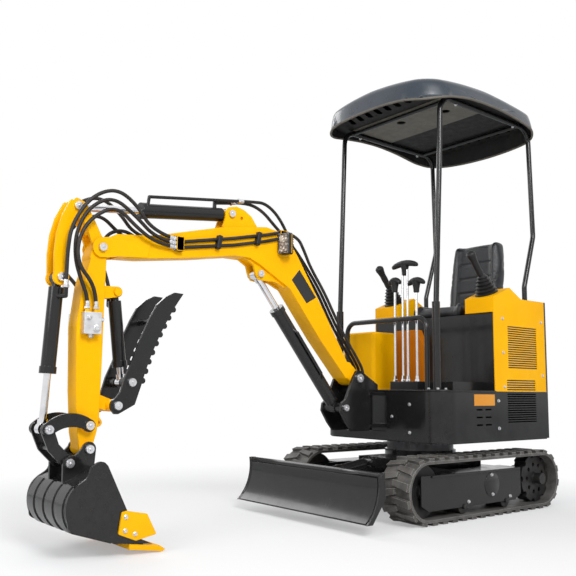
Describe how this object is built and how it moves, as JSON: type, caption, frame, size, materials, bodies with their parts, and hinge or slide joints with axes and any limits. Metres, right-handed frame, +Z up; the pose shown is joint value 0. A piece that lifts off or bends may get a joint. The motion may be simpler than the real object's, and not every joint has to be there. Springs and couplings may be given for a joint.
{
  "type": "mini excavator",
  "caption": "Compact tracked excavator with open canopy, swinging boom, arm with hydraulic thumb and bucket, and a front dozer blade.",
  "frame": {"origin": "on the ground, below the middle of the whole machine's box", "axes": "+X forward to the bucket, +Y to the operator's left, +Z up"},
  "size_m": [2.7549, 0.944, 2.252],
  "materials": {
    "yellow_paint": "gloss",
    "orange_paint": "satin",
    "black_paint": "gloss",
    "roof_shell": "gloss",
    "chrome_rod": "polished",
    "bare_steel": "machined",
    "cast_wheel": "painted",
    "engine_iron": "rough",
    "track_rubber": "matte",
    "control_plastic": "matte",
    "seat_vinyl": "satin",
    "hose_rubber": "satin",
    "liner_panel": "matte"
  },
  "bodies": {
    "undercarriage": {"track_left": "track_rubber", "track_right": "track_rubber", "idlers": "cast_wheel", "sprockets": "cast_wheel", "rollers": "cast_wheel", "slew_ring": "bare_steel", "side_frame_left": "black_paint", "side_frame_right": "black_paint", "centre_frame": "black_paint"},
    "blade": {"blade": "black_paint"},
    "blade_barrel": {"blade_cylinder_barrel": "black_paint"},
    "blade_rod": {"blade_cylinder_rod": "chrome_rod"},
    "upper": {"upper_frame": "black_paint", "front_skirt": "black_paint", "floor_plate": "black_paint", "lower_panel_left": "black_paint", "lower_panel_right": "black_paint", "side_panel_left": "yellow_paint", "side_panel_right": "yellow_paint", "seat_base": "black_paint", "rear_cover": "black_paint", "counterweight": "black_paint", "engine_block": "engine_iron", "tank_cover": "yellow_paint", "shin_cover": "orange_paint", "joysticks": "control_plastic", "travel_levers": "control_plastic", "seat_cushion": "seat_vinyl", "seat_back": "seat_vinyl", "canopy_frame": "black_paint", "canopy_roof": "roof_shell", "guard_rail": "black_paint", "canopy_liner": "liner_panel"},
    "swing": {"swing_bracket": "black_paint"},
    "boom_barrel": {"boom_cylinder_barrel": "black_paint"},
    "boom_rod": {"boom_cylinder_rod": "chrome_rod"},
    "boom": {"boom": "yellow_paint", "hose_bucket_left": "hose_rubber", "hose_bucket_right": "hose_rubber", "hose_valve_left": "hose_rubber", "hose_valve_right": "hose_rubber", "hose_return": "hose_rubber", "hose_thumb": "hose_rubber", "hose_arm_far": "hose_rubber", "hose_arm_near": "hose_rubber", "hose_side": "hose_rubber"},
    "arm_barrel": {"arm_cylinder_barrel": "black_paint"},
    "arm_rod": {"arm_cylinder_rod": "chrome_rod"},
    "arm": {"arm": "yellow_paint"},
    "bucket_barrel": {"bucket_cylinder_barrel": "black_paint"},
    "bucket_rod": {"bucket_cylinder_rod": "chrome_rod"},
    "rocker": {"rocker": "black_paint"},
    "thumb_barrel": {"thumb_cylinder_barrel": "black_paint"},
    "thumb_rod": {"thumb_cylinder_rod": "chrome_rod"},
    "bucket": {"bucket": "black_paint", "bucket_cutters": "yellow_paint"},
    "link": {"bucket_link": "black_paint"},
    "thumb": {"thumb": "black_paint"}
  },
  "joints": [
    {"name": "slew", "type": "hinge", "parent": "undercarriage", "child": "upper", "pos_m": [-0.75, 0, 0.356], "axis": [0, 0, 1], "continuous": true},
    {"name": "blade_lift", "type": "hinge", "parent": "undercarriage", "child": "blade", "pos_m": [-0.35, 0, 0.165], "axis": [0, 1, 0], "range_deg": [-22, 22]},
    {"name": "blade_barrel_turn", "type": "hinge", "parent": "undercarriage", "child": "blade_barrel", "pos_m": [-0.35, 0, 0.247], "axis": [0, 1, 0], "range_deg": [-21.67, 21.67]},
    {"name": "blade_rod_slide", "type": "slide", "parent": "blade_barrel", "child": "blade_rod", "axis": [0.9902, 0, -0.1395], "range_m": [-0.0317, 0.0317]},
    {"name": "boom_swing", "type": "hinge", "parent": "upper", "child": "swing", "pos_m": [-0.33, 0, 0.5], "axis": [0, 0, 1], "range_deg": [-55, 55]},
    {"name": "boom_lift", "type": "hinge", "parent": "swing", "child": "boom", "pos_m": [-0.214, 0, 0.671], "axis": [0, 1, 0], "range_deg": [-30, 38], "deforming": ["hose_arm_far", "hose_arm_near", "hose_side"]},
    {"name": "boom_barrel_turn", "type": "hinge", "parent": "swing", "child": "boom_barrel", "pos_m": [-0.12, 0, 0.525], "axis": [0, 1, 0], "range_deg": [-29.01, 36.67]},
    {"name": "boom_rod_slide", "type": "slide", "parent": "boom_barrel", "child": "boom_rod", "axis": [0.6316, 0, 0.7753], "range_m": [-0.1101, 0.0871]},
    {"name": "arm_turn", "type": "hinge", "parent": "boom", "child": "arm", "pos_m": [1.17, 0, 1.161], "axis": [0, 1, 0], "range_deg": [-75, 40], "deforming": ["hose_bucket_left", "hose_bucket_right", "hose_valve_left", "hose_valve_right", "hose_return", "hose_thumb"]},
    {"name": "arm_barrel_turn", "type": "hinge", "parent": "boom", "child": "arm_barrel", "pos_m": [0.548, 0, 1.396], "axis": [0, 1, 0], "range_deg": [-1.3, 0.83]},
    {"name": "arm_rod_slide", "type": "slide", "parent": "arm_barrel", "child": "arm_rod", "axis": [0.9935, 0, -0.1139], "range_m": [-0.2215, 0.1186]},
    {"name": "bucket_turn", "type": "hinge", "parent": "arm", "child": "bucket", "pos_m": [1.198, 0, 0.383], "axis": [0, 1, 0], "range_deg": [-80, 75]},
    {"name": "rocker_turn", "type": "hinge", "parent": "arm", "child": "rocker", "pos_m": [1.2, 0, 0.47], "axis": [0, 1, 0], "range_deg": [-51.77, 48.55]},
    {"name": "link_turn", "type": "hinge", "parent": "bucket", "child": "link", "pos_m": [1.273, 0, 0.335], "axis": [0, 1, 0], "range_deg": [-50.78, 54.15]},
    {"name": "bucket_barrel_turn", "type": "hinge", "parent": "arm", "child": "bucket_barrel", "pos_m": [1.327, 0, 1.028], "axis": [0, 1, 0], "range_deg": [-0.72, 0.75]},
    {"name": "bucket_rod_slide", "type": "slide", "parent": "bucket_barrel", "child": "bucket_rod", "axis": [0.0527, 0, -0.9986], "range_m": [-0.132, 0.1238]},
    {"name": "thumb_turn", "type": "hinge", "parent": "arm", "child": "thumb", "pos_m": [1.1, 0, 0.544], "axis": [0, 1, 0], "range_deg": [-122, 4]},
    {"name": "thumb_barrel_turn", "type": "hinge", "parent": "arm", "child": "thumb_barrel", "pos_m": [1.09, 0, 0.992], "axis": [0, 1, 0], "range_deg": [-0.38, 2.68]},
    {"name": "thumb_rod_slide", "type": "slide", "parent": "thumb_barrel", "child": "thumb_rod", "axis": [-0.1274, 0, -0.9918], "range_m": [-0.0074, 0.1976]}
  ],
  "couplings": [
    {"joint": "blade_barrel_turn", "follows": "blade_lift", "ratio": 0.97122},
    {"joint": "blade_rod_slide", "follows": "blade_lift", "m_per_rad": 0.08007},
    {"joint": "boom_barrel_turn", "follows": "boom_lift", "ratio": 0.95712},
    {"joint": "boom_rod_slide", "follows": "boom_lift", "m_per_rad": -0.16451},
    {"joint": "arm_barrel_turn", "follows": "arm_turn", "ratio": 0.01331},
    {"joint": "arm_rod_slide", "follows": "arm_turn", "m_per_rad": 0.16845},
    {"joint": "rocker_turn", "follows": "bucket_turn", "ratio": 0.64339},
    {"joint": "link_turn", "follows": "bucket_turn", "ratio": -0.6731},
    {"joint": "bucket_barrel_turn", "follows": "bucket_turn", "ratio": -0.00565},
    {"joint": "bucket_rod_slide", "follows": "bucket_turn", "m_per_rad": 0.0938},
    {"joint": "thumb_barrel_turn", "follows": "thumb_turn", "ratio": -0.01949},
    {"joint": "thumb_rod_slide", "follows": "thumb_turn", "m_per_rad": -0.09231}
  ]
}
